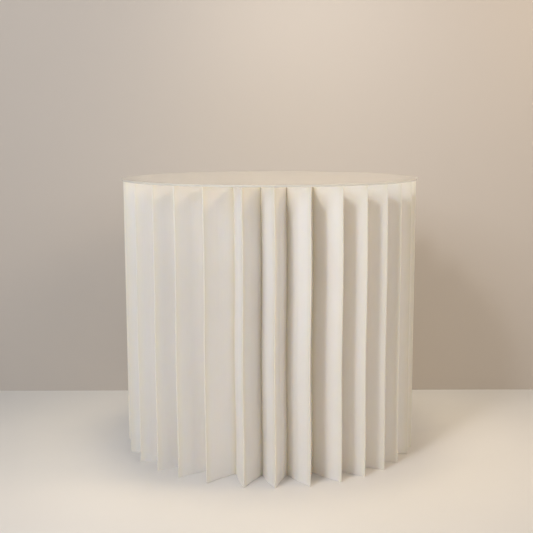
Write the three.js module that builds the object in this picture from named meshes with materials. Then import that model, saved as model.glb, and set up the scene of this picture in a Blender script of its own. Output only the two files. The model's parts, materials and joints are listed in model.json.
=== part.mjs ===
// A round display plinth: a wall of standing accordion pleats that closes on itself behind,
// and a clear disc laid on top of it. Millimetres, +Z up, the floor at z = 0 and the front toward -Y.
// Opened at the back and with the disc lifted off, the wall folds up into a flat stack of panels.
import * as THREE from 'three';

// ---- the whole thing
const discDiameter = 800;
const overallHeight = 735;
const discThickness = 5;
const discBevel = 0.6; // the polished arris round both edges of the disc
const tipInset = 4; // how far the pleat tips stand inside the edge of the disc
const fitGap = 0.3; // the gap left between pieces that touch

// ---- the pleated sheet
const panelWidth = 96; // one panel, from its tip crease to its valley crease
const sheetThickness = 1.2;
const creaseLip = 0.8 * sheetThickness; // how far the outside of a fold runs past its crease
const pleatCount = 28;
// The pleats are set out by hand and stand unevenly: degrees from each front tip to the next, left to right.
const frontGaps = [16, 12.5, 12.5, 11, 12, 14, 11, 12.5, 12, 10.5, 10.5, 9.5, 11, 8.5];
const firstFrontTip = -87.5; // degrees from the front, + toward +X
const hiddenLeft = 7; // pleats from the seam round the left side to the first front tip

// ---- the closing seam at the back: a spare panel laps over the first one, held by hook-and-loop tape
const tapeThickness = 0.8; // one half of the tape
const tapeWidth = 25;
const tapeInset = 40; // bare sheet left above and below the tape
const lapTrim = 8; // the spare panel stops short of the tip that it covers
const freeEdgeTrim = 4; // and the first panel stops short of the valley crease behind it

const tipRadius = discDiameter / 2 - tipInset;
const wallHeight = overallHeight - discThickness - fitGap;
const panelPitch = sheetThickness + fitGap; // centre to centre of two panels folded together
const lapPitch = sheetThickness + 2 * tapeThickness + 3 * fitGap; // the same across the seam
const rad = Math.PI / 180;

/** A point on the floor plan: an angle from the front, in degrees toward +X, and a distance from the axis. */
const polar = (degrees, r) => new THREE.Vector2(r * Math.sin(degrees * rad), -r * Math.cos(degrees * rad));

/** How far from the axis a valley crease stands between two tips that are `gap` degrees apart. */
function valleyRadius(gap) {
  const half = tipRadius * Math.sin((gap / 2) * rad);
  return tipRadius * Math.cos((gap / 2) * rad) - Math.sqrt(panelWidth ** 2 - half ** 2);
}

/** The seam's creases for hidden pleats `gap` degrees apart: the first panel and the spare one on it. */
function seamCreases(gap) {
  const firstTip = polar(firstFrontTip - hiddenLeft * gap, tipRadius);
  const freeEdge = polar(firstFrontTip - (hiddenLeft + 0.5) * gap, valleyRadius(gap));
  const along = firstTip.clone().sub(freeEdge).normalize();
  const off = new THREE.Vector2(along.y, -along.x).multiplyScalar(lapPitch); // toward the last pleat
  return { firstTip, freeEdge, lapValley: freeEdge.clone().add(off), lapEdge: firstTip.clone().add(off) };
}

/** Degrees from one hidden tip to the next: whatever lets the last pleat meet the spare panel. */
function hiddenGap() {
  const seen = frontGaps.reduce((sum, gap) => sum + gap, 0);
  const hiddenTips = pleatCount - frontGaps.length - 1;
  let gap = (360 - seen) / (hiddenTips + 1);
  for (let step = 0; step < 12; step++) {
    const valley = seamCreases(gap).lapValley;
    const r = valley.length();
    const reach = Math.acos((tipRadius ** 2 + r ** 2 - panelWidth ** 2) / (2 * tipRadius * r)) / rad;
    const valleyAngle = Math.atan2(valley.x, -valley.y) / rad;
    const lastTip = (valleyAngle < 0 ? valleyAngle + 360 : valleyAngle) - reach;
    const openBy = lastTip - (firstFrontTip + seen + (hiddenTips - hiddenLeft) * gap);
    gap += openBy / (hiddenTips + 1);
  }
  return gap;
}

/** Every crease line in order round the wall, from the first panel's free edge to the spare panel's. */
function creaseLines() {
  const gap = hiddenGap();
  const { freeEdge, lapValley, lapEdge } = seamCreases(gap);
  const gaps = Array.from({ length: pleatCount - 1 }, (_, k) => frontGaps[k - hiddenLeft] ?? gap);
  const lines = [freeEdge];
  let angle = firstFrontTip - hiddenLeft * gap;
  lines.push(polar(angle, tipRadius));
  for (const g of gaps) {
    lines.push(polar(angle + g / 2, valleyRadius(g)));
    angle += g;
    lines.push(polar(angle, tipRadius));
  }
  lines.push(lapValley, lapEdge);
  return lines;
}

/** One flat panel on the floor, with its first crease line at the local origin and the other along +X. */
function panelGeometry(side, startTrim, endTrim) {
  const run = Math.sqrt(panelWidth ** 2 - panelPitch ** 2);
  const face = (side * sheetThickness) / 2;
  const edge = fitGap / 2;
  const outline = new THREE.Shape([
    new THREE.Vector2(startTrim || edge, face),
    new THREE.Vector2(startTrim || -creaseLip, -face),
    new THREE.Vector2(run - (endTrim || edge), -face),
    new THREE.Vector2(run + (endTrim ? -endTrim : creaseLip), face),
  ]);
  const geometry = new THREE.ExtrudeGeometry(outline, { depth: wallHeight, bevelEnabled: false });
  geometry.translate(0, (-side * panelPitch) / 2, 0);
  return geometry.rotateZ(side * Math.asin(panelPitch / panelWidth));
}

const card = new THREE.MeshStandardMaterial({ color: 0xf1e9d6, roughness: 0.45, metalness: 0 });
const acrylic = new THREE.MeshStandardMaterial({ color: 0xe9ecea, roughness: 0.05, metalness: 0 });
const tape = new THREE.MeshStandardMaterial({ color: 0xf4f2ec, roughness: 0.9, metalness: 0 });

const group = new THREE.Group();
group.name = 'pleated_plinth';

// ---- the wall, panel by panel
const lines = creaseLines();
const panelCount = lines.length - 1;
const rootPanel = (panelCount - 1) / 2; // the panel at the middle of the front, which the rest fold toward
const foldedAngle = 2 * Math.asin(panelPitch / panelWidth); // between two crease-to-crease lines, folded flat

const panelName = (i) => (i === panelCount - 1 ? 'lap_panel' : `panel_${String(i + 1).padStart(2, '0')}`);

/** How a panel folds onto its neighbour: about which line, which way round and how far. */
function foldOf(i) {
  const toward = i > rootPanel ? -1 : 1; // the neighbour's side
  const at = i > rootPanel ? i : i + 1;
  const neighbour = lines[at + toward].clone().sub(lines[at]);
  const own = lines[at - toward].clone().sub(lines[at]);
  const open = Math.acos(neighbour.dot(own) / (neighbour.length() * own.length()));
  return {
    number: at,
    parent: panelName(i + toward),
    at: lines[at].toArray(),
    turn: Math.sign(own.cross(neighbour)),
    degrees: (open - foldedAngle) / rad,
  };
}

for (let i = 0; i < panelCount; i++) {
  const along = lines[i + 1].clone().sub(lines[i]);
  const startTrim = i === 0 ? freeEdgeTrim : 0;
  const endTrim = i === panelCount - 1 ? lapTrim : 0;
  const side = i % 2 === 0 ? -1 : 1; // which face carries the crease line at the start of the panel
  const mesh = new THREE.Mesh(panelGeometry(side, startTrim, endTrim), card);
  mesh.name = panelName(i);
  mesh.position.set(lines[i].x, lines[i].y, 0);
  mesh.rotation.z = Math.atan2(along.y, along.x);
  if (i !== rootPanel) mesh.userData.crease = foldOf(i);
  group.add(mesh);
}

// ---- the closing tape: the loop half on the first panel and the hook half on the spare one
const tapeHeight = wallHeight - 2 * tapeInset;
const tapeGeometry = new THREE.BoxGeometry(tapeWidth, tapeThickness, tapeHeight);
const seamAlong = lines[1].clone().sub(lines[0]);
const seamAngle = Math.atan2(seamAlong.y, seamAlong.x) - Math.asin(panelPitch / panelWidth);
const seamOff = lines[panelCount - 1].clone().sub(lines[0]).normalize();
const seamMiddle = lines[0].clone().add(lines[1]).multiplyScalar(0.5);
['loop_tape', 'hook_tape'].forEach((name, k) => {
  const mesh = new THREE.Mesh(tapeGeometry.clone(), tape);
  const away = sheetThickness / 2 + fitGap + tapeThickness / 2 + k * (tapeThickness + fitGap);
  mesh.name = name;
  mesh.position.set(seamMiddle.x + seamOff.x * away, seamMiddle.y + seamOff.y * away, wallHeight / 2);
  mesh.rotation.z = seamAngle;
  group.add(mesh);
});

// ---- the disc, laid on the tops of the pleats
const discRadius = discDiameter / 2;
const discSegments = 160;
const discProfile = [
  new THREE.Vector2(0, 0),
  new THREE.Vector2(discRadius - discBevel, 0),
  new THREE.Vector2(discRadius, discBevel),
  new THREE.Vector2(discRadius, discThickness - discBevel),
  new THREE.Vector2(discRadius - discBevel, discThickness),
  new THREE.Vector2(0, discThickness),
];
const disc = new THREE.Mesh(new THREE.LatheGeometry(discProfile, discSegments).rotateX(Math.PI / 2), acrylic);
disc.name = 'top_disc';
disc.position.z = overallHeight - discThickness;
group.add(disc);

export default group;
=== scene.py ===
"""A round display plinth: a free-standing wall of accordion pleats with a clear disc laid on it.

The wall is built fold by fold. Each fold is its own strip of sheet, from the middle of one panel,
round the crease, to the middle of the next.
Metres, +Z up, the floor at z = 0 and the front toward -Y.
"""
import json
import logging
import math
from dataclasses import dataclass
from enum import Enum

import bpy
import numpy as np
from bpy.types import Material, Node, NodeSocket as Socket, Object as Piece
from mathutils import Euler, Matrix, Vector

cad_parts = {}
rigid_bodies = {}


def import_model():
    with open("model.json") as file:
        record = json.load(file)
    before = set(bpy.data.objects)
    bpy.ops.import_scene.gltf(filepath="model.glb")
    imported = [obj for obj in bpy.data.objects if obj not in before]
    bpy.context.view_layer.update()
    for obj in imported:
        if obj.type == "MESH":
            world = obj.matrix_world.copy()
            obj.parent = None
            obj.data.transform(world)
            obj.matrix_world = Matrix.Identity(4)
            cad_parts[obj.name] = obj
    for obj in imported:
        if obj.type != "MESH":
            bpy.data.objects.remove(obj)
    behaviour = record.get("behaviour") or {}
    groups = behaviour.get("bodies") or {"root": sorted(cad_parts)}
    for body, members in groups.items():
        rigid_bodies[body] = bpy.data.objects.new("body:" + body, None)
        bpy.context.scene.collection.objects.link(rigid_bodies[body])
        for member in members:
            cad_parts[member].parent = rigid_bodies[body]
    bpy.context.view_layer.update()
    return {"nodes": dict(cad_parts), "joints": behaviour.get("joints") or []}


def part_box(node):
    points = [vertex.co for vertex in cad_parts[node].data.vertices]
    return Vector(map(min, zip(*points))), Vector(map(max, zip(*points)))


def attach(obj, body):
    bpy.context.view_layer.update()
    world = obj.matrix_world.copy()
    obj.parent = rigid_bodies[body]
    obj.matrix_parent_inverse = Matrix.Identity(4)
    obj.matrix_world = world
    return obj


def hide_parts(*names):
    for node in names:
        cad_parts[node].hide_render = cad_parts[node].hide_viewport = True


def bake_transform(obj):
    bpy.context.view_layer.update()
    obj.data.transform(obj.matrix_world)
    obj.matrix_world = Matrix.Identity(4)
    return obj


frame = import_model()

MM = 0.001
log = logging.getLogger("pleated_plinth")


class Slot(Enum):
    """The record's material slots."""

    SHEET = "pleated_sheet"
    DISC = "clear_disc"
    TAPE = "closing_tape"


class Fold(Enum):
    """The two kinds of crease: out at the rim or in toward the axis."""

    TIP = "tip"
    VALLEY = "valley"

    @staticmethod
    def of(number: int) -> "Fold":
        """The kind of the crease with this number: odd ones are tips."""
        return Fold.TIP if number % 2 else Fold.VALLEY


class TapeHalf(Enum):
    """The two halves of the closing tape, and the body that each is stuck to."""

    LOOP = "panel_01"
    HOOK = "lap_panel"


# ---- node trees


class Tree:
    """A node tree being built: adds nodes, sets their inputs and links them."""

    def __init__(self, tree: bpy.types.NodeTree) -> None:
        """Starts on an empty tree."""
        self.tree = tree
        tree.nodes.clear()

    def add(self, kind: str, inputs: dict | None = None, **settings: object) -> Node:
        """Adds a node.

        Args:
            kind: The node's type name.
            inputs: Input name or number, to a value or to the output socket that feeds it.
            settings: Properties of the node itself.

        Returns:
            The new node.
        """
        node = self.tree.nodes.new(kind)
        for name, value in settings.items():
            setattr(node, name, value)
        for name, value in (inputs or {}).items():
            socket = node.inputs[name]
            if isinstance(value, Socket):
                self.tree.links.new(value, socket)
            else:
                socket.default_value = value
        return node

    def math(self, operation: str, *values: object, clamp: bool = False) -> Socket:
        """Adds a Math node on numbers or sockets, kept between 0 and 1 if asked, and gives its result."""
        node = self.add("ShaderNodeMath", dict(enumerate(values)), operation=operation, use_clamp=clamp)
        return node.outputs[0]

    def vector(self, operation: str, *values: object) -> Socket:
        """Adds a Vector Math node on vectors or sockets. A number stands for three alike."""
        return self.add("ShaderNodeVectorMath", dict(enumerate(values)), operation=operation).outputs[0]

    def noise(self, place: Socket, scale: float, detail: float) -> Socket:
        """Adds a Noise Texture node with this scale and number of finer layers, and gives its strength."""
        node = self.add("ShaderNodeTexNoise", {"Vector": place, "Scale": scale, "Detail": detail})
        return node.outputs["Fac"]

    def attribute(self, name: str, output: str = "Vector") -> Socket:
        """Reads one of the piece's attributes in a material."""
        return self.add("ShaderNodeAttribute", attribute_name=name).outputs[output]

    def place(self) -> Socket:
        """Reads the Object coordinates in a material."""
        return self.add("ShaderNodeTexCoord").outputs["Object"]

    def surface(self, shader: Node) -> None:
        """Ends a material in this shader."""
        self.add("ShaderNodeOutputMaterial", {"Surface": shader.outputs[0]})

    def blend(self, low: float, high: float, share: Socket) -> Socket:
        """Goes softly from one number to another as the share goes from 0 to 1."""
        return self.add("ShaderNodeMapRange", {"Value": share, "To Min": low, "To Max": high},
                        interpolation_type="SMOOTHSTEP").outputs[0]


def new_material(name: str) -> tuple[Material, Tree]:
    """Starts a node material.

    Args:
        name: The material's name.

    Returns:
        The material and its empty tree.
    """
    material = bpy.data.materials.new(name)
    material.use_nodes = True
    return material, Tree(material.node_tree)


def tint(tree: Tree, share: Socket, low: object, high: object) -> Socket:
    """Goes from one colour to another.

    Args:
        tree: The tree to add to.
        share: How far, from 0 to 1.
        low: The colour at 0, or the socket that gives it.
        high: The colour at 1, or its socket.

    Returns:
        The colour in between.
    """
    ends = [(*end, 1) if isinstance(end, tuple) else end for end in (low, high)]
    node = tree.add("ShaderNodeMix", {"Factor": share, 6: ends[0], 7: ends[1]}, data_type="RGBA")
    return node.outputs[2]


# ---- finishes


@dataclass(frozen=True)
class SatinSheet:
    """Stiff cream sheet with a satin face and a faint grain that runs up the wall.

    Attributes:
        colour: The sheet.
        shade: Its darker clouds and streaks.
        creased: The darker colour of a crease's nose: partly wear, partly painted shade that dims the
            light on the nose.
        crease_shade_colour: Darker, yellower colour beside every crease: painted shade for the yellowish
            bounce light in the pleats.
        crease_shade_width: How far that reaches from a crease.
        crease_shade_share: How strong it is at the crease.
        crease_shade_fall: How fast it fades.
        panel: From one crease to the next.
        roughness: The satin of the face.
        glow: How much light goes into the sheet.
        glow_depth: How deep it goes, for red, green and blue.
    """

    colour: tuple = (0.905, 0.872, 0.835)
    shade: tuple = (0.875, 0.835, 0.785)
    creased: tuple = (0.78, 0.745, 0.70)
    crease_shade_colour: tuple = (0.895, 0.825, 0.67)
    crease_shade_width: float = 20 * MM
    crease_shade_share: float = 0.65
    crease_shade_fall: float = 1.5
    panel: float = 96 * MM
    roughness: float = 0.42
    glow: float = 0.35
    glow_depth: tuple = (4.0 * MM, 3.2 * MM, 2.0 * MM)

    def build(self) -> Material:
        """Makes the material.

        Returns:
            A material that reads the piece's own `sheet` and `worn_and_shaded` attributes, and paints
            shade beside and on the creases.
        """
        material, tree = new_material("satin_sheet")
        sheet = tree.attribute("sheet")
        worn_and_shaded = tree.attribute("worn_and_shaded", "Fac")
        cloud = tree.noise(sheet, 5.0, 3.0)
        long_grain = tree.add("ShaderNodeMapping", {"Vector": sheet, "Scale": (1, 0.04, 1)}).outputs[0]
        streak = tree.noise(long_grain, 420.0, 4.0)
        fleck = tree.noise(sheet, 1300.0, 2.0)
        mottle = tree.math("ADD", tree.math("MULTIPLY", cloud, 0.55), tree.math("MULTIPLY", streak, 0.45))
        even = tree.blend(0.0, 1.0, tree.math("MULTIPLY_ADD", mottle, 2.2, -0.6, clamp=True))
        flat = tint(tree, even, self.shade, self.colour)
        # painted shade: the sheet is painted darker and yellower near every crease, standing in for the
        # yellowish bounce light and shade in the pleats
        along = tree.add("ShaderNodeSeparateXYZ", {"Vector": sheet}).outputs["X"]
        to_crease = tree.math("PINGPONG", along, self.panel / 2)
        near = tree.math("MULTIPLY_ADD", to_crease, -1 / self.crease_shade_width, 1.0, clamp=True)
        crease_shade = tree.math("MULTIPLY", tree.math("POWER", near, self.crease_shade_fall), self.crease_shade_share)
        base = tint(tree, crease_shade, flat, self.crease_shade_colour)
        # partly wear and partly painted shade: the crease noses are painted darker, which dims the light
        # on them
        crease_wear_shade = tree.math("MULTIPLY", worn_and_shaded, tree.math("MULTIPLY_ADD", fleck, 0.8, 0.1))
        gloss = tree.math("MULTIPLY_ADD", streak, 0.12, self.roughness - 0.06)
        relief = tree.math("ADD", tree.math("MULTIPLY", streak, 0.7), tree.math("MULTIPLY", fleck, 0.3))
        bump = tree.add("ShaderNodeBump", {"Height": relief, "Strength": 0.12, "Distance": 0.1 * MM})
        tree.surface(tree.add("ShaderNodeBsdfPrincipled", {
            "Base Color": tint(tree, crease_wear_shade, base, self.creased),
            "Roughness": tree.math("MULTIPLY_ADD", worn_and_shaded, 0.1, gloss), "IOR": 1.47,
            "Subsurface Weight": self.glow, "Subsurface Radius": self.glow_depth,
            "Subsurface Scale": 1.0, "Normal": bump.outputs[0]}))
        return material


@dataclass(frozen=True)
class ClearAcrylic:
    """Slightly milky acrylic sheet with the faint rub marks that a display top gets.

    Attributes:
        name: The material's name.
        colour: The acrylic.
        roughness: How dull its face is.
        clearness: How much light goes through, from 0 to 1.
        let_through: The tint of the light that reaches what is under it.
    """

    name: str = "clear_acrylic"
    colour: tuple = (0.95, 0.925, 0.88)
    roughness: float = 0.035
    clearness: float = 0.82
    let_through: tuple = (0.93, 0.92, 0.89)

    def build(self) -> Material:
        """Makes the material.

        Returns:
            A glass-like material on Object coordinates.
        """
        material, tree = new_material(self.name)
        place = tree.place()
        rub = tree.add("ShaderNodeMapping", {"Vector": place, "Scale": (1, 0.05, 1),
                                             "Rotation": (0, 0, 0.6)}).outputs[0]
        rubs = tree.noise(rub, 160.0, 3.0)
        marks = tree.math("MULTIPLY", tree.noise(place, 9.0, 5.0), rubs)
        rough = tree.math("MULTIPLY_ADD", marks, 0.12, self.roughness - 0.02)
        bump = tree.add("ShaderNodeBump", {"Height": rubs, "Strength": 0.03, "Distance": 0.02 * MM})
        shader = tree.add("ShaderNodeBsdfPrincipled", {
            "Base Color": (*self.colour, 1), "Roughness": rough, "IOR": 1.49,
            "Transmission Weight": self.clearness, "Normal": bump.outputs[0]})
        # light on its way to other pieces passes straight through
        pane = tree.add("ShaderNodeBsdfTransparent", {"Color": (*self.let_through, 1)})
        path = tree.add("ShaderNodeLightPath").outputs
        lighting = tree.math("MAXIMUM", path["Is Shadow Ray"], path["Is Diffuse Ray"])
        tree.surface(tree.add("ShaderNodeMixShader",
                              {0: lighting, 1: shader.outputs[0], 2: pane.outputs[0]}))
        return material


@dataclass(frozen=True)
class WovenTape:
    """The woven ground of hook-and-loop tape.

    Attributes:
        colour: The yarn.
        shade: The gaps between the yarns.
        pick: From one yarn to the next but one.
    """

    colour: tuple = (0.83, 0.80, 0.73)
    shade: tuple = (0.66, 0.63, 0.56)
    pick: float = 0.55 * MM

    def build(self) -> Material:
        """Makes the material.

        Returns:
            A matt weave on the piece's own `sheet` attribute.
        """
        material, tree = new_material("woven_tape")
        cloth = tree.attribute("sheet")
        parts = tree.add("ShaderNodeSeparateXYZ", {0: cloth})
        turns = 2 * math.pi / self.pick
        warp = tree.math("SINE", tree.math("MULTIPLY", parts.outputs["X"], turns))
        weft = tree.math("SINE", tree.math("MULTIPLY", parts.outputs["Y"], turns))
        weave = tree.math("MULTIPLY_ADD", tree.math("MULTIPLY", warp, weft), 0.5, 0.5)
        fluff = tree.math("MULTIPLY", tree.noise(cloth, 900.0, 3.0), 0.4)
        share = tree.math("MULTIPLY_ADD", weave, 0.6, fluff)
        bump = tree.add("ShaderNodeBump", {"Height": share, "Strength": 0.6, "Distance": 0.12 * MM})
        tree.surface(tree.add("ShaderNodeBsdfPrincipled", {
            "Base Color": tint(tree, share, self.shade, self.colour),
            "Roughness": tree.blend(0.9, 0.72, share), "Sheen Weight": 0.3, "Sheen Roughness": 0.5,
            "Normal": bump.outputs[0]}))
        return material


@dataclass(frozen=True)
class NylonPile:
    """The nylon thread of the tape's hooks and loops.

    Attributes:
        colour: The lightest threads.
        shade: The darkest.
    """

    colour: tuple = (0.86, 0.84, 0.78)
    shade: tuple = (0.74, 0.71, 0.64)

    def build(self) -> Material:
        """Makes the material.

        Returns:
            Nylon whose threads are a little lighter or darker by where they stand.
        """
        material, tree = new_material("nylon_pile")
        uneven = tree.noise(tree.place(), 500.0, 1.0)
        tree.surface(tree.add("ShaderNodeBsdfPrincipled", {
            "Base Color": tint(tree, uneven, self.shade, self.colour),
            "Roughness": tree.blend(0.32, 0.5, uneven), "IOR": 1.53}))
        return material


# ---- meshes


def mesh_piece(name: str, points: np.ndarray, faces: list, edges: list | tuple = ()) -> Piece:
    """Makes a mesh object at the origin.

    Args:
        name: The piece's name.
        points: One row of x, y, z for each corner.
        faces: Corner numbers of each face.
        edges: Corner numbers of each loose edge.

    Returns:
        The new object, in the scene.
    """
    mesh = bpy.data.meshes.new(name)
    mesh.from_pydata([tuple(map(float, p)) for p in points], edges, faces)
    mesh.update()
    piece = bpy.data.objects.new(name, mesh)
    bpy.context.scene.collection.objects.link(piece)
    return piece


def give(piece: Piece, name: str, values: np.ndarray) -> None:
    """Stores numbers on the points of a piece.

    Args:
        piece: The mesh object.
        name: The attribute's name.
        values: One number, or one row of x, y, z, for each point.
    """
    flat = np.asarray(values, np.float32)
    if flat.ndim == 2:
        piece.data.attributes.new(name, "FLOAT_VECTOR", "POINT").data.foreach_set("vector", flat.ravel())
    else:
        piece.data.attributes.new(name, "FLOAT", "POINT").data.foreach_set("value", flat)


def soften(piece: Piece, sharp: float = 50.0) -> None:
    """Shades a piece smooth, with hard edges where faces meet more sharply than this many degrees."""
    piece.data.shade_smooth()
    piece.data.set_sharp_from_angle(angle=math.radians(sharp))


class Grower:
    """A geometry node tree that makes pieces, with named inputs for its sizes."""

    def __init__(self, name: str, **sizes: str) -> None:
        """Starts the tree.

        Args:
            name: The tree's name.
            sizes: Each input's name, with _ for a space, and the kind of its socket.
        """
        self.group = bpy.data.node_groups.new(name, "GeometryNodeTree")
        self.tree = Tree(self.group)
        face = self.group.interface
        face.new_socket("Geometry", in_out="INPUT", socket_type="NodeSocketGeometry")
        face.new_socket("Geometry", in_out="OUTPUT", socket_type="NodeSocketGeometry")
        self.ids = {size: face.new_socket(size.replace("_", " "), in_out="INPUT",
                                          socket_type=f"NodeSocket{kind}").identifier
                    for size, kind in sizes.items()}
        self.given = self.tree.add("NodeGroupInput").outputs

    def close(self, shape: Socket) -> None:
        """Ends the tree in Realize Instances and Set Material.

        Args:
            shape: The finished geometry.
        """
        real = self.tree.add("GeometryNodeRealizeInstances", {0: shape}).outputs[0]
        dressed = self.tree.add("GeometryNodeSetMaterial",
                                {"Geometry": real, "Material": self.given["Material"]}).outputs[0]
        self.tree.add("NodeGroupOutput", {0: dressed})

    def grow(self, piece: Piece, **sizes: object) -> Piece:
        """Runs the tree on a piece and keeps the result as its plain mesh.

        Args:
            piece: The mesh object that the tree starts from.
            sizes: Input values, by name, with _ for a space.

        Returns:
            The same object.
        """
        modifier = piece.modifiers.new("grow", "NODES")
        modifier.node_group = self.group
        for name, value in sizes.items():
            modifier[self.ids[name]] = value
        whole = piece.evaluated_get(bpy.context.evaluated_depsgraph_get())
        mesh = bpy.data.meshes.new_from_object(whole)
        piece.modifiers.remove(modifier)
        old, piece.data = piece.data, mesh
        bpy.data.meshes.remove(old)
        mesh.name = piece.name
        return piece


# ---- the pleated wall


def turned(v: np.ndarray, angle: float) -> np.ndarray:
    """Turns a plan vector by an angle in radians, anticlockwise from above."""
    c, s = math.cos(angle), math.sin(angle)
    return np.array([c * v[0] - s * v[1], s * v[0] + c * v[1]])


def left_of(v: np.ndarray) -> np.ndarray:
    """The plan vector a quarter turn to the left."""
    return np.array([-v[1], v[0]])


@dataclass
class PanelLine:
    """The middle line of one flat panel on the floor plan, in the order of the sheet.

    Attributes:
        number: The panel's number, from 1 at the seam.
        start: Where the line starts.
        way: Its direction.
        length: From the first crease to the second.
        begin: Where the sheet really starts along it, past 0 only at the sheet's free edge.
        end: Where the sheet really ends.
    """

    number: int
    start: np.ndarray
    way: np.ndarray
    length: float
    begin: float
    end: float

    @property
    def outward(self) -> bool:
        """True if the panel runs from a valley out to a tip."""
        return self.number % 2 == 1

    @property
    def round_way(self) -> np.ndarray:
        """The side of the panel that faces anticlockwise round the wall."""
        return left_of(self.way) if self.outward else -left_of(self.way)

    def from_tip(self, s: np.ndarray) -> np.ndarray:
        """How far places s along the line are from the panel's tip crease."""
        return self.length - s if self.outward else s


@dataclass
class PleatedWall:
    """The wall: one long creased sheet, made as a strip for each fold.

    Attributes:
        thickness: The sheet's thickness.
        fit_gap: The gap that two panels keep when they are folded together.
        bow: How far a panel bows at its middle near the disc, all clockwise from above.
        foot_bow: The share of the bow that is left at the foot.
        pinch: How far a tip is pressed together where the pressing ends.
        pinch_run: How far in from the tip the pressing is hardest.
        pinch_end: How far in from the tip the sheet is straight again, short of the panel's middle.
        pinch_corner: How sharply the pinch turns from growing to fading.
        top_pinch: The share of the pinch that is left under the disc.
        wave: How far the sheet is out of flat.
        wave_scale: How many such waves there are to a metre, about.
        sway: How far a crease wanders from a straight line.
        sway_turns: How often it wanders to and fro up the wall.
        sway_step: How far each crease is ahead of the last one in that, in radians.
        lift: The most that a fold stands off the floor.
        lift_fade: How fast that fades up the wall.
        worn_and_shaded_width: How far from its crease the darker nose colour reaches, as wear and painted
            shade.
        rows: Points up the height of a strip.
        stations: Where a strip has points along a panel, from the crease, in mm.
        last_step: From the last but one of a strip's points to its end.
        free_steps: Points along the half panel at a free edge.
        arc_steps: Steps round a crease.
        weld: How close points are made one.
    """

    thickness: float = 1.2 * MM
    fit_gap: float = 0.3 * MM
    bow: float = 4.0 * MM
    foot_bow: float = 0.6
    pinch: float = 0.45 * MM
    pinch_run: float = 9 * MM
    pinch_end: float = 40 * MM
    pinch_corner: float = 9.0
    top_pinch: float = 0.3
    wave: float = 0.05 * MM
    wave_scale: float = 7.0
    sway: float = 1.1 * MM
    sway_turns: float = 1.6
    sway_step: float = 0.02
    lift: float = 1.5 * MM
    lift_fade: float = 3.0
    worn_and_shaded_width: float = 1.6 * MM
    rows: int = 44
    stations: tuple = (0.0, 1.5, 3.5, 6.0, 8.0, 9.5, 11.5, 15.0, 21.0, 29.0, 38.0)
    last_step: float = 0.4 * MM
    free_steps: int = 12
    arc_steps: int = 9
    weld: float = 0.01 * MM

    def __post_init__(self) -> None:
        """Reads the crease lines and the panels' lines from the frame."""
        joints = [j for j in frame["joints"] if j["type"] == "hinge"]
        self.creases = {int(j["name"][-2:]): np.array(j["pos_m"][:2], float) for j in joints}
        self.count = len(self.creases)
        self.pitch = self.thickness + self.fit_gap
        self.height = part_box("panel_01")[1].z
        self.lines = {k: self.line(k) for k in range(1, self.count + 2)}

    def node(self, k: int) -> str:
        """The name of panel k's CAD node and body."""
        return "lap_panel" if k == self.count + 1 else f"panel_{k:02d}"

    def far_edge(self, k: int, crease: np.ndarray) -> np.ndarray:
        """The middle of the raw edge of the sheet's first or last panel.

        Args:
            k: The panel's number.
            crease: Its only crease, on the plan.

        Returns:
            The point on the plan, halfway through the sheet.
        """
        vertices = frame["nodes"][self.node(k)].data.vertices
        corners = {(round(v.co.x, 6), round(v.co.y, 6)) for v in vertices}
        far = sorted(corners, key=lambda c: -math.dist(c, crease))[:2]
        return np.mean(np.array(far), axis=0)

    def line(self, k: int) -> PanelLine:
        """Finds a panel's middle line. It crosses from one face's crease to the other face's.

        Args:
            k: The panel's number.

        Returns:
            Its line.
        """
        first, last = self.creases.get(k - 1), self.creases.get(k)
        side = -1 if k % 2 else 1
        if first is None or last is None:
            crease = last if first is None else first
            edge = self.far_edge(k, crease)
            v = crease - edge if first is None else edge - crease
            reach = float(np.hypot(*v))
            way = turned(v / reach, -math.asin(self.pitch / 2 / reach))
            length = self.lines_length
            run = math.sqrt(reach ** 2 - (self.pitch / 2) ** 2)
            if first is None:
                return PanelLine(k, edge + way * (run - length), way, length, length - run, length)
            return PanelLine(k, edge - way * run, way, length, 0.0, run)
        v = last - first
        reach = float(np.hypot(*v))
        way = turned(v / reach, side * math.asin(self.pitch / reach))
        length = math.sqrt(reach ** 2 - self.pitch ** 2)
        return PanelLine(k, first - left_of(way) * side * self.pitch / 2, way, length, 0.0, length)

    @property
    def lines_length(self) -> float:
        """The length of every full panel's middle line."""
        return math.sqrt(float(np.sum((self.creases[2] - self.creases[1]) ** 2)) - self.pitch ** 2)

    def bow_share(self, line: PanelLine, s: np.ndarray) -> np.ndarray:
        """How much of the bow a place along a panel takes, from 0 at its creases to 1 between them."""
        return np.sin(np.pi * np.clip(s / line.length, 0, 1)) ** 2

    def bow_at(self, z: np.ndarray) -> np.ndarray:
        """The bow at each height, anticlockwise: less at the foot than under the disc."""
        f = np.clip(np.asarray(z) / self.height, 0, 1)
        return -self.bow * (self.foot_bow + (1 - self.foot_bow) * f * f * (3 - 2 * f))

    def pinch_share(self, line: PanelLine, s: np.ndarray) -> np.ndarray:
        """How much of the pinch a place along a panel takes: most at the end of the pressed part.

        Args:
            line: The panel's line.
            s: Places along it.

        Returns:
            The share at each place, from 0 to 1.
        """
        in_from_tip = np.clip(line.from_tip(s), 0, None)
        d = in_from_tip / self.pinch_run
        rest = np.clip((self.pinch_end - in_from_tip) / (self.pinch_end - self.pinch_run), 0, 1)
        fall = rest * rest * (3 - 2 * rest)
        both = np.exp(-self.pinch_corner * d) + np.exp(-self.pinch_corner * fall)
        return np.clip(-np.log(both) / self.pinch_corner, 0, None)

    def crease_sway(self, k: int, else_way: np.ndarray) -> tuple[np.ndarray, np.ndarray]:
        """Which way a crease sways, round the wall, as the parts for the sine and the cosine.

        Args:
            k: The crease's number.
            else_way: The way at a free edge, which has no crease.

        Returns:
            Two plan vectors.
        """
        at = self.creases.get(k)
        side = else_way if at is None else left_of(at) / float(np.hypot(*at))
        phase = self.sway_step * k
        return side * math.cos(phase), side * math.sin(phase)

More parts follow.
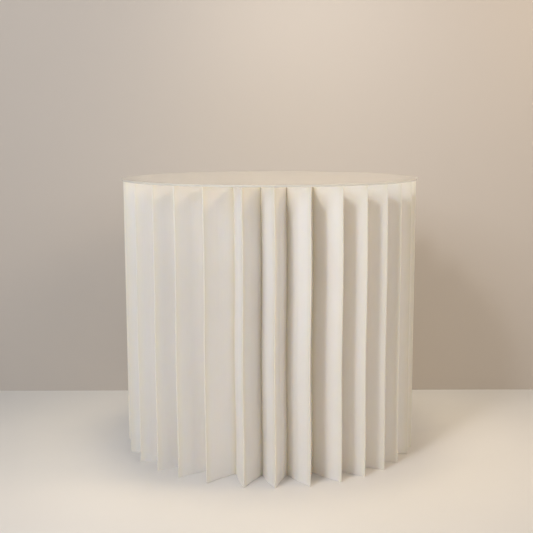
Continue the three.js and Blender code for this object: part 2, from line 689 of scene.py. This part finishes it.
    def sway_ways(self, line: PanelLine, s: np.ndarray) -> tuple[np.ndarray, np.ndarray]:
        """Which way and how much places along a panel sway, as the parts for the sine and the cosine.

        Args:
            line: The panel's line.
            s: Places along it.

        Returns:
            Two rows of plan vectors. Neighbours sway nearly together, so that the sheet still folds flat.
        """
        share = (s / line.length)[:, None]
        ends = [self.crease_sway(crease, line.round_way) for crease in (line.number - 1, line.number)]
        return tuple(ends[0][i] * (1 - share) + ends[1][i] * share for i in (0, 1))

    def flat_part(self, line: PanelLine, stops: np.ndarray) -> dict[str, np.ndarray]:
        """A panel's share of a strip, on the floor plan.

        Args:
            line: The panel's line.
            stops: Places along it.

        Returns:
            What path() returns, for these places.
        """
        side = left_of(line.way)
        sine, cosine = self.sway_ways(line, stops)
        # a tip is pinched toward its own middle, which is on the left on both of its panels
        return {"points": line.start + np.outer(stops, line.way),
                "run": (line.number - 1) * line.length + stops,
                "bow": np.outer(self.bow_share(line, stops), line.round_way),
                "pinch": np.outer(self.pinch_share(line, stops), side),
                "facing": np.tile(-side, (len(stops), 1)),
                # closeness to the crease, which paints the nose darker as wear and painted shade
                "worn_and_shaded": np.exp(-np.minimum(stops, line.length - stops) / self.worn_and_shaded_width),
                "sway_sine": sine, "sway_cosine": cosine}

    def round_part(self, k: int, edge: np.ndarray) -> dict[str, np.ndarray]:
        """The part of a strip that turns round its crease, on the floor plan.

        Args:
            k: The crease's number.
            edge: Where the panel before it ends.

        Returns:
            What path() returns, for the places between the two panels.
        """
        before, after, centre = self.lines[k], self.lines[k + 1], self.creases[k]
        turn = math.atan2(float(left_of(before.way) @ after.way), float(before.way @ after.way))
        angles = [turn * step / self.arc_steps for step in range(1, self.arc_steps)]
        count = len(angles)
        sine, cosine = self.crease_sway(k, before.round_way)
        return {"points": np.array([centre + turned(edge - centre, angle) for angle in angles]),
                "run": np.full(count, before.number * before.length),
                "bow": np.zeros((count, 2)), "pinch": np.zeros((count, 2)),
                "facing": np.array([-left_of(turned(before.way, angle)) for angle in angles]),
                "worn_and_shaded": np.ones(count),
                "sway_sine": np.tile(sine, (count, 1)), "sway_cosine": np.tile(cosine, (count, 1))}

    def path(self, k: int) -> dict[str, np.ndarray]:
        """The strip of fold k on the floor plan, point by point.

        Args:
            k: The crease's number.

        Returns:
            The points, and for each its run along the sheet, its bow and pinch directions, its facing,
            its closeness to the crease and its two sway directions.
        """
        before, after = self.lines[k], self.lines[k + 1]
        half = before.length / 2
        inner = np.concatenate([np.array(self.stations) * MM, [half - self.last_step, half]])
        first = np.sort(before.length - inner)
        if before.begin > 0:
            rest = np.linspace(before.begin, half, self.free_steps)[:-1]
            first = np.concatenate([rest, first])
        second = np.sort(inner)
        if after.end < after.length:
            second = np.concatenate([second, np.linspace(half, after.end, self.free_steps)[1:]])
        start = self.flat_part(before, first)
        parts = [start, self.round_part(k, start["points"][-1]), self.flat_part(after, second)]
        return {name: np.concatenate([part[name] for part in parts]) for name in start}

    def lift_at(self, run: np.ndarray) -> np.ndarray:
        """How far the sheet's foot stands off the floor, the same for every strip.

        Args:
            run: Places along the whole sheet.

        Returns:
            The height at each place.
        """
        at = run / self.lines_length
        ripple = (np.sin(at * 0.83 + 0.4) + np.sin(at * 1.71 + 2.1) + np.sin(at * 0.37 + 5.0)) / 3
        return self.lift * np.clip(ripple * 1.3 - 0.1, 0, 1)

    def folder(self) -> Grower:
        """Builds the tree that raises a strip of sheet from its line on the floor plan.

        Returns:
            The tree. Its input geometry is the line, with its directions as attributes.
        """
        grower = Grower("raise_fold", Height="Float", Rows="Int", Thickness="Float", Bow="Float",
                        Pinch="Float", Wave="Float", Sway="Float", Sway_turns="Float",
                        Material="Material")
        tree, given = grower.tree, grower.given
        line = given["Geometry"]
        count = tree.add("GeometryNodeAttributeDomainSize", {0: line}).outputs["Point Count"]
        grid = tree.add("GeometryNodeMeshGrid", {"Size X": 1.0, "Size Y": 1.0, "Vertices X": count,
                                                 "Vertices Y": given["Rows"]}).outputs["Mesh"]
        square = tree.add("ShaderNodeSeparateXYZ",
                          {0: tree.add("GeometryNodeInputPosition").outputs[0]})
        column = tree.math("MULTIPLY", tree.math("ADD", square.outputs["X"], 0.5),
                           tree.math("SUBTRACT", count, 1.0))
        column = tree.add("FunctionNodeFloatToInt", {0: column}, rounding_mode="ROUND").outputs[0]
        up = tree.math("ADD", square.outputs["Y"], 0.5)

        def on_line(value: Socket, kind: str) -> Socket:
            """Reads a value from the line's point for this column."""
            return tree.add("GeometryNodeSampleIndex",
                            {"Geometry": line, "Value": value, "Index": column},
                            data_type=kind, domain="POINT").outputs[0]

        def stored(name: str, kind: str) -> Socket:
            """Reads one of the line's attributes for this column."""
            node = tree.add("GeometryNodeInputNamedAttribute", {"Name": name}, data_type=kind)
            return on_line(node.outputs[0], kind)

        foot = on_line(tree.add("GeometryNodeInputPosition").outputs[0], "FLOAT_VECTOR")
        lifted = tree.math("MULTIPLY", stored("lift", "FLOAT"),
                           tree.math("POWER", tree.math("SUBTRACT", 1.0, up), self.lift_fade))
        z = tree.math("ADD", tree.math("MULTIPLY", up, given["Height"]), lifted)
        bowed = tree.math("MULTIPLY", given["Bow"], tree.blend(-self.foot_bow, -1.0, up))
        pinched = tree.math("MULTIPLY", given["Pinch"], tree.blend(1.0, self.top_pinch, up))
        here = tree.vector("ADD", foot, tree.add("ShaderNodeCombineXYZ", {"Z": z}).outputs[0])
        uneven = tree.math("MULTIPLY_ADD", tree.noise(here, self.wave_scale, 1.0), 2.0, -1.0)
        waved = tree.math("MULTIPLY", uneven, given["Wave"])
        turns = tree.math("MULTIPLY", up, given["Sway turns"])
        swayed = {name: tree.math("MULTIPLY", given["Sway"], tree.math(operation, turns))
                  for name, operation in (("sway_sine", "SINE"), ("sway_cosine", "COSINE"))}
        for way, size in (("bow", bowed), ("pinch", pinched), ("facing", waved), *swayed.items()):
            here = tree.vector("MULTIPLY_ADD", stored(way, "FLOAT_VECTOR"), size, here)
        sheet = tree.add("ShaderNodeCombineXYZ", {"X": stored("run", "FLOAT"), "Y": z}).outputs[0]
        skin = grid
        for name, kind, value in (("sheet", "FLOAT_VECTOR", sheet),
                                  ("worn_and_shaded", "FLOAT", stored("worn_and_shaded", "FLOAT"))):
            skin = tree.add("GeometryNodeStoreNamedAttribute",
                            {"Geometry": skin, "Name": name, "Value": value},
                            data_type=kind, domain="POINT").outputs[0]
        skin = tree.add("GeometryNodeSetPosition", {"Geometry": skin, "Position": here}).outputs[0]
        normal = tree.add("GeometryNodeInputNormal").outputs[0]
        back = tree.vector("MULTIPLY", normal, tree.math("MULTIPLY", given["Thickness"], -0.5))
        skin = tree.add("GeometryNodeSetPosition", {"Geometry": skin, "Offset": back}).outputs[0]
        front = tree.add("GeometryNodeExtrudeMesh",
                         {"Mesh": skin, "Offset Scale": given["Thickness"], "Individual": False},
                         mode="FACES").outputs["Mesh"]
        rear = tree.add("GeometryNodeFlipFaces", {"Mesh": skin}).outputs[0]
        both = tree.add("GeometryNodeJoinGeometry")
        for half in (front, rear):
            tree.tree.links.new(half, both.inputs[0])
        whole = tree.add("GeometryNodeMergeByDistance",
                         {"Geometry": both.outputs[0], "Distance": self.weld})
        grower.close(whole.outputs[0])
        return grower

    def build(self, finish: Material) -> None:
        """Makes every fold of the wall and hides the CAD panels that the folds stand in for.

        Args:
            finish: The sheet's material.
        """
        folder = self.folder()
        for k in sorted(self.creases):
            path = self.path(k)
            count = len(path["run"])
            line = {name: np.column_stack([values, np.zeros(count)]) if values.ndim == 2 else values
                    for name, values in path.items()}
            piece = mesh_piece(f"{Fold.of(k).value}_fold_{k:02d}", line.pop("points"), [],
                               [(i, i + 1) for i in range(count - 1)])
            for name, values in line.items():
                give(piece, name, values)
            give(piece, "lift", self.lift_at(path["run"]))
            folder.grow(piece, Height=self.height, Rows=self.rows, Thickness=self.thickness,
                        Bow=self.bow, Pinch=self.pinch, Wave=self.wave, Sway=self.sway,
                        Sway_turns=self.sway_turns * 2 * math.pi, Material=finish)
            soften(piece)
            self.attach(piece, k)
            log.info("%s: %d faces", piece.name, len(piece.data.polygons))

    def attach(self, piece: Piece, k: int) -> None:
        """Bakes a fold's transform into its mesh and hides the CAD panels that it stands in for.

        Args:
            piece: The fold's strip.
            k: The crease's number.
        """
        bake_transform(piece)
        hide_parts(self.node(k))
        if k == self.count:
            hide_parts(self.node(k + 1))


# ---- the disc


@dataclass
class ClearDisc:
    """The disc that lies on the pleats.

    Attributes:
        arris: How far the polished edge is rounded.
        segments: Points round the rim.
        rings: The rings of points on each face, as shares of the radius.
    """

    arris: float = 0.6 * MM
    segments: int = 288
    rings: tuple = (0.25, 0.5, 0.75, 0.92)

    def build(self, finish: Material, edge: Material) -> None:
        """Makes the disc, and lets it ride on the body that lifts off.

        Args:
            finish: The acrylic of the two faces.
            edge: The duller acrylic of the cut edge.
        """
        low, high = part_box("top_disc")
        radius = (high.x - low.x) / 2
        rim = [(radius - self.arris * (1 - math.sin(a)), low.z + self.arris * (1 - math.cos(a)))
               for a in (0, math.pi / 6, math.pi / 3, math.pi / 2)]
        rim += [(r, high.z + low.z - z) for r, z in reversed(rim)]
        flats = [radius * f for f in self.rings]
        profile = [(r, low.z) for r in flats] + rim + [(r, high.z) for r in reversed(flats)]
        angles = np.arange(self.segments) * 2 * math.pi / self.segments
        points = [(r * math.cos(a), r * math.sin(a), z) for r, z in profile for a in angles]
        n = self.segments
        faces = [(i * n + j, i * n + (j + 1) % n, (i + 1) * n + (j + 1) % n, (i + 1) * n + j)
                 for i in range(len(profile) - 1) for j in range(n)]
        points += [(0, 0, low.z), (0, 0, high.z)]
        foot, top = len(points) - 2, len(points) - 1
        last = (len(profile) - 1) * n
        faces += [(foot, (j + 1) % n, j) for j in range(n)]
        faces += [(top, last + j, last + (j + 1) % n) for j in range(n)]
        piece = mesh_piece("display_disc", np.array(points), faces)
        soften(piece, sharp=35)
        piece.data.materials.append(finish)
        piece.data.materials.append(edge)
        # the faces of the rim show the cut edge, the second material
        for face in piece.data.polygons[len(flats) * n:(len(flats) + len(rim) - 1) * n]:
            face.material_index = 1
        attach(piece, "top_disc")
        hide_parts("top_disc")
        log.info("%s: %d faces", piece.name, len(faces))


# ---- the closing tape


@dataclass
class ClosingTape:
    """Hook-and-loop tape between the first panel and the spare panel that laps over it.

    Attributes:
        wall: The wall whose seam it closes.
        ground: The thickness of the woven ground.
        corner: The radius of the tape's cut corners.
        columns: Points across the ground.
        end_rows: The rows of points near each end, measured from it.
        row_step: From one row of points to the next in between.
        margin: The bare edge of the tape, without hooks or loops.
        pitch: From one hook or loop to the next.
        thread: The thickness of a hook's or loop's thread.
        loop_foot: Half the distance between a loop's feet.
        hook_curl: The radius of a hook's bend, as a share of its height.
        hook_bend: How far round it bends, in half turns.
        loop_turn: The most that a loop is turned either way, in radians.
        hook_turn: The same for a hook.
        seed: The start of the random draws.
    """

    wall: PleatedWall
    ground: float = 0.35 * MM
    corner: float = 4 * MM
    columns: int = 11
    end_rows: tuple = (0.0, 0.3 * MM, 1 * MM, 2 * MM, 3 * MM, 4 * MM)
    row_step: float = 9 * MM
    margin: float = 2.2 * MM
    pitch: float = 2.3 * MM
    thread: float = 0.16 * MM
    loop_foot: float = 0.75 * MM
    hook_curl: float = 0.42
    hook_bend: float = 1.35
    loop_turn: float = 3.14
    hook_turn: float = 0.35
    seed: int = 7

    def thread_shape(self, half: TapeHalf, pile: float) -> np.ndarray:
        """The line of one hook or loop, standing on the tape.

        Args:
            half: Which half of the tape.
            pile: How high it stands.

        Returns:
            Points x, y, z of the line.
        """
        reach = pile - self.thread / 2
        if half is TapeHalf.LOOP:
            angles = np.linspace(0, math.pi, 7)
            return np.array([(self.loop_foot * math.cos(a), 0.0, reach * math.sin(a)) for a in angles])
        angles = np.linspace(0, self.hook_bend * math.pi, 6)
        curl = reach * self.hook_curl
        hook = [(curl - curl * math.cos(a), 0.0, reach - curl + curl * math.sin(a)) for a in angles]
        return np.array([(0.0, 0.0, 0.0), *hook])

    def piler(self) -> Grower:
        """Builds the tree that sets a thread on every point of a field, turned a little at random.

        Returns:
            The tree. Its input geometry is one thread's line.
        """
        grower = Grower("tape_pile", Length="Float", Width="Float", Along="Int", Across="Int",
                        Thread="Float", Turn="Float", Seed="Int", Material="Material")
        tree, given = grower.tree, grower.given
        curve = tree.add("GeometryNodeMeshToCurve", {0: given["Geometry"]}).outputs[0]
        ring = tree.add("GeometryNodeCurvePrimitiveCircle",
                        {"Resolution": 3, "Radius": tree.math("MULTIPLY", given["Thread"], 0.5)})
        thread = tree.add("GeometryNodeCurveToMesh", {"Curve": curve, "Profile Curve": ring.outputs[0],
                                                      "Fill Caps": True}).outputs[0]
        place = tree.add("GeometryNodeMeshGrid", {"Size X": given["Width"], "Size Y": given["Length"],
                                                  "Vertices X": given["Across"],
                                                  "Vertices Y": given["Along"]}).outputs["Mesh"]
        turn = tree.add("FunctionNodeRandomValue",
                        {2: tree.math("MULTIPLY", given["Turn"], -1.0), 3: given["Turn"],
                         "Seed": given["Seed"]}, data_type="FLOAT").outputs[1]
        spin = tree.add("ShaderNodeCombineXYZ", {"Z": turn}).outputs[0]
        set_out = tree.add("GeometryNodeInstanceOnPoints",
                           {"Points": place, "Instance": thread, "Rotation": spin}).outputs[0]
        grower.close(set_out)
        return grower

    def ground_piece(self, name: str, width: float, length: float) -> Piece:
        """Makes the woven ground with its cut corners rounded, flat on its own plan.

        Args:
            name: The piece's name.
            width: Across the tape.
            length: Along the tape.

        Returns:
            The piece, with its face at z = ground.
        """
        ends = np.array(self.end_rows)
        between = np.arange(ends[-1], length - ends[-1], self.row_step)[1:]
        rows = np.concatenate([ends, between, length - ends[::-1]])
        columns = self.columns
        points = []
        for y in rows:
            into = self.corner - min(y, length - y, self.corner)
            side = width / 2 - (self.corner - math.sqrt(max(self.corner ** 2 - into ** 2, 0)))
            points += [((2 * i / (columns - 1) - 1) * side, y - length / 2) for i in range(columns)]
        size = len(points)
        low = [(x, y, 0.0) for x, y in points]
        high = [(x, y, self.ground) for x, y in points]
        count = len(rows)
        faces = []
        for r in range(count - 1):
            for c in range(columns - 1):
                a, b = r * columns + c, r * columns + c + 1
                d, e = a + columns, b + columns
                faces += [(a, d, e, b), (size + a, size + b, size + e, size + d)]
        rim = list(range(columns)) + [r * columns + columns - 1 for r in range(1, count)]
        rim += [(count - 1) * columns + c for c in range(columns - 2, -1, -1)]
        rim += [r * columns for r in range(count - 2, 0, -1)]
        faces += [(a, b, size + b, size + a) for a, b in zip(rim, rim[1:] + rim[:1])]
        piece = mesh_piece(name, np.array(low + high), faces)
        give(piece, "sheet", np.array([(x, y, 0) for x, y in points + points]))
        soften(piece, sharp=35)
        return piece

    def build(self, half: TapeHalf, weave: Material, pile: Material) -> None:
        """Makes one half of the tape and lays it on its panel, with the panel's bow and sway.

        Args:
            half: Which half.
            weave: The ground's material.
            pile: The threads' material.
        """
        name = f"{half.name.lower()}_tape"
        corners = np.array([v.co[:] for v in frame["nodes"][name].data.vertices])
        low, high = corners.min(0), corners.max(0)
        middle = (low + high) / 2
        length = float(high[2] - low[2])
        line = self.wall.lines[1 if half is TapeHalf.LOOP else self.wall.count + 1]
        flat = corners[:, :2] - middle[:2]
        width = float(np.ptp(flat @ line.way))
        thick = float(np.ptp(flat @ line.round_way))
        # the loops face away from the first panel, and the hooks face toward it
        seat = self.wall.lines[1].start - middle[:2]
        out = left_of(line.way)
        face = -out if float(seat @ out) > 0 else out
        if half is TapeHalf.HOOK:
            face = -face
        body = self.ground_piece(name, width, length)
        body.data.materials.append(weave)
        shape = self.thread_shape(half, thick - self.ground)
        threads = mesh_piece(f"{name}_pile", shape, [], [(i, i + 1) for i in range(len(shape) - 1)])
        field = {"Length": length - 2 * self.margin, "Width": width - 2 * self.margin}
        self.piler().grow(threads, **field, Along=int(field["Length"] / self.pitch) + 1,
                          Across=int(field["Width"] / self.pitch) + 1, Thread=self.thread,
                          Turn=self.loop_turn if half is TapeHalf.LOOP else self.hook_turn,
                          Seed=self.seed, Material=pile)
        for piece, base in ((body, 0.0), (threads, self.ground)):
            co = np.array([v.co[:] for v in piece.data.vertices])
            s = float((middle[:2] - line.start) @ line.way) + co[:, 0]
            z = middle[2] + co[:, 1]
            bow = self.wall.bow_at(z) * self.wall.bow_share(line, s)
            sine, cosine = self.wall.sway_ways(line, s)
            turns = (z / self.wall.height * self.wall.sway_turns * 2 * math.pi)[:, None]
            plan = (middle[:2] - face * thick / 2 + np.outer(co[:, 0], line.way)
                    + np.outer(co[:, 2] + base, face) + np.outer(bow, line.round_way)
                    + self.wall.sway * (sine * np.sin(turns) + cosine * np.cos(turns)))
            piece.data.vertices.foreach_set("co", np.column_stack([plan, z]).astype(np.float32).ravel())
            if float(left_of(line.way) @ face) > 0:
                piece.data.flip_normals()
            piece.data.update()
            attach(piece, half.value)
            log.info("%s: %d faces", piece.name, len(piece.data.polygons))
        soften(threads, sharp=60)
        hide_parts(name)


# ---- the studio


@dataclass(frozen=True)
class Lamp:
    """One soft lamp.

    Attributes:
        name: What it is called.
        at: Where it hangs.
        aim: What it points at.
        size: The side of its square face.
        power: Watts.
        colour: Its colour.
        spread: How wide its light opens, in degrees.
    """

    name: str
    at: tuple
    aim: tuple
    size: float
    power: float
    colour: tuple
    spread: float = 180

    def hang(self) -> None:
        """Puts the lamp in the scene."""
        data = bpy.data.lights.new(self.name, "AREA")
        data.shape, data.size, data.energy, data.color = "SQUARE", self.size, self.power, self.colour
        data.spread = math.radians(self.spread)
        lamp = bpy.data.objects.new(self.name, data)
        lamp.location = self.at
        lamp.rotation_euler = (Vector(self.aim) - Vector(self.at)).to_track_quat("-Z", "Y").to_euler()
        bpy.context.scene.collection.objects.link(lamp)


@dataclass
class Studio:
    """The pale floor, the plain wall behind, the lamps and the camera.

    Attributes:
        lens: Focal length in mm on a 36 mm sensor.
        eye: Where the camera stands.
        pitch: How far it looks down, in degrees.
        roll: How far it is tipped, in degrees.
        wall_at: How far behind the plinth's axis the wall stands.
        wall_reach: How far it runs to either side.
        wall_height: How high it is.
        floor_reach: How far the floor runs each way.
        floor_colour: The floor.
        wall_colour: The wall.
        room: The light from all round.
        room_light: How strong that is.
        lamps: The lamps.
    """

    lens: float = 64.17
    eye: tuple = (-0.0076, -2.604, 0.8603)
    pitch: float = 8.14
    roll: float = 0.15
    wall_at: float = 0.488
    wall_reach: float = 3.2
    wall_height: float = 3.0
    floor_reach: float = 40.0
    floor_colour: tuple = (0.70, 0.68, 0.665)
    wall_colour: tuple = (0.58, 0.53, 0.485)
    room: tuple = (1.0, 0.97, 0.93)
    room_light: float = 0.27
    lamps: tuple = (
        Lamp("key", (-1.5, -2.15, 2.0), (0, 0, 0.50), 1.1, 22.5, (0.92, 0.955, 1.0)),
        Lamp("fill", (1.45, -2.25, 1.9), (0, 0, 0.45), 1.5, 13.5, (1.0, 0.91, 0.80)),
        Lamp("front_high", (-0.75, -1.65, 2.1), (0, -0.3, 0.65), 0.3, 15.5, (0.96, 0.97, 1.0)),
        Lamp("overhead", (0.0, -0.05, 2.3), (0, -0.05, 0.5), 0.5, 2.7, (1.0, 0.84, 0.57), 56),
        Lamp("warm_right", (1.6, -0.5, 1.9), (0.2, 0.1, 0.45), 0.6, 14, (1.0, 0.78, 0.52)),
        Lamp("wall_wash", (0.15, -0.30, 1.75), (0.15, 0.49, 0.95), 0.5, 0.7, (1.0, 0.98, 0.95), 80),
        Lamp("behind", (-0.5, 2.4, 1.9), (0, 0, 0.40), 1.6, 8, (1.0, 0.97, 0.93)),
    )

    def camera(self) -> None:
        """Stands the camera at the viewing angle."""
        data = bpy.data.cameras.new("camera")
        data.lens, data.sensor_width = self.lens, 36
        camera = bpy.data.objects.new("camera", data)
        camera.location = self.eye
        camera.rotation_euler = Euler((math.radians(90 - self.pitch), math.radians(self.roll), 0), "XYZ")
        bpy.context.scene.collection.objects.link(camera)
        bpy.context.scene.camera = camera

    def plane(self, name: str, corners: list, material: Material) -> Piece:
        """Makes a flat piece of the room.

        Args:
            name: Its name.
            corners: Its four corners.
            material: Its finish.

        Returns:
            The object.
        """
        piece = mesh_piece(name, np.array(corners, float), [(0, 1, 2, 3)])
        piece.data.materials.append(material)
        return piece

    def floor_finish(self) -> Material:
        """Makes the floor's paint.

        Returns:
            A matt paint, a little uneven.
        """
        material, tree = new_material("pale_floor")
        darker = tuple(c * 0.93 for c in self.floor_colour)
        paint = tint(tree, tree.noise(tree.place(), 3.0, 4.0), darker, self.floor_colour)
        tree.surface(tree.add("ShaderNodeBsdfPrincipled", {"Base Color": paint, "Roughness": 0.55}))
        return material

    def wall_finish(self) -> Material:
        """Makes the wall's paint.

        Returns:
            A matt paint that is clear from behind, so that the plinth's back can be seen.
        """
        material, tree = new_material("plain_wall")
        darker = tuple(c * 0.96 for c in self.wall_colour)
        colour = tint(tree, tree.noise(tree.place(), 1.5, 3.0), darker, self.wall_colour)
        paint = tree.add("ShaderNodeBsdfPrincipled", {"Base Color": colour, "Roughness": 0.8})
        clear = tree.add("ShaderNodeBsdfTransparent")
        behind = tree.add("ShaderNodeNewGeometry").outputs["Backfacing"]
        tree.surface(tree.add("ShaderNodeMixShader",
                              {0: behind, 1: paint.outputs[0], 2: clear.outputs[0]}))
        return material

    def build(self) -> None:
        """Sets the whole stage."""
        self.camera()
        f, w, back = self.floor_reach, self.wall_reach, self.wall_at
        self.plane("floor", [(-f, -f, 0), (f, -f, 0), (f, f, 0), (-f, f, 0)], self.floor_finish())
        wall = self.plane("wall", [(-w, back, 0), (w, back, 0), (w, back, self.wall_height),
                                   (-w, back, self.wall_height)], self.wall_finish())
        wall.visible_shadow = False
        wall.visible_diffuse = False
        for lamp in self.lamps:
            lamp.hang()
        world = bpy.data.worlds.new("room")
        world.use_nodes = True
        tree = Tree(world.node_tree)
        light = tree.add("ShaderNodeBackground", {"Color": (*self.room, 1), "Strength": self.room_light})
        tree.add("ShaderNodeOutputWorld", {"Surface": light.outputs[0]})
        bpy.context.scene.world = world
        bpy.context.scene.view_settings.view_transform = "Standard"


def main() -> None:
    """Builds the plinth and its stage."""
    logging.basicConfig(level=logging.INFO, format="%(name)s %(message)s")
    Studio().build()
    wall = PleatedWall()
    wall.build(SatinSheet().build())
    cut_edge = ClearAcrylic(name="acrylic_edge", colour=(0.95, 0.93, 0.89), roughness=0.2, clearness=0.5)
    ClearDisc().build(ClearAcrylic().build(), cut_edge.build())
    tape = ClosingTape(wall)
    weave, pile = WovenTape().build(), NylonPile().build()
    for half in TapeHalf:
        tape.build(half, weave, pile)


if __name__ == "__main__":
    main()
